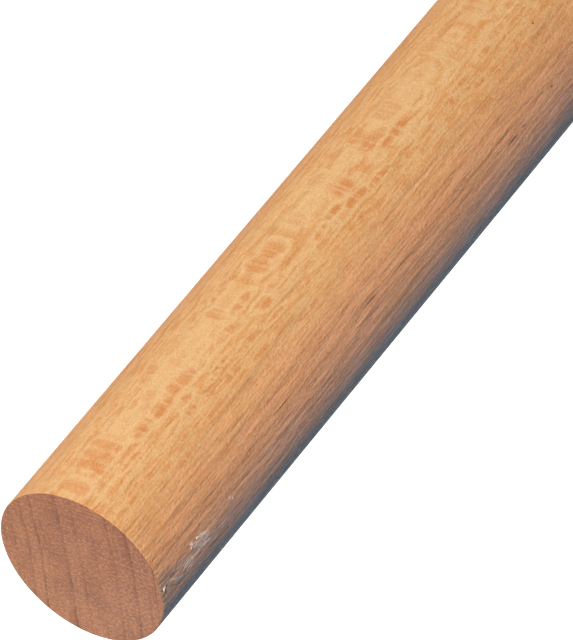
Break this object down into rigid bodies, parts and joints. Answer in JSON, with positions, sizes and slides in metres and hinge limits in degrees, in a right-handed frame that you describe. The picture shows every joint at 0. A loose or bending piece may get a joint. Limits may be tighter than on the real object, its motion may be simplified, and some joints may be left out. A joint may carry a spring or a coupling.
{
  "type": "wooden dowel rod",
  "caption": "Plain round beech dowel rod with square sawn ends, standing on one end, with a patch of torn grain at the rim of the other.",
  "frame": {"origin": "centre of the foot, the sawn end that the rod stands on", "axes": "+Z along the rod from the foot to the head; the torn grain is at the head's rim, 218 degrees round from +X seen from above"},
  "size_m": [0.028, 0.028, 0.3],
  "materials": {
    "steamed_beech": "satin"
  },
  "bodies": {
    "root": {"dowel_rod": "steamed_beech"}
  },
  "joints": []
}
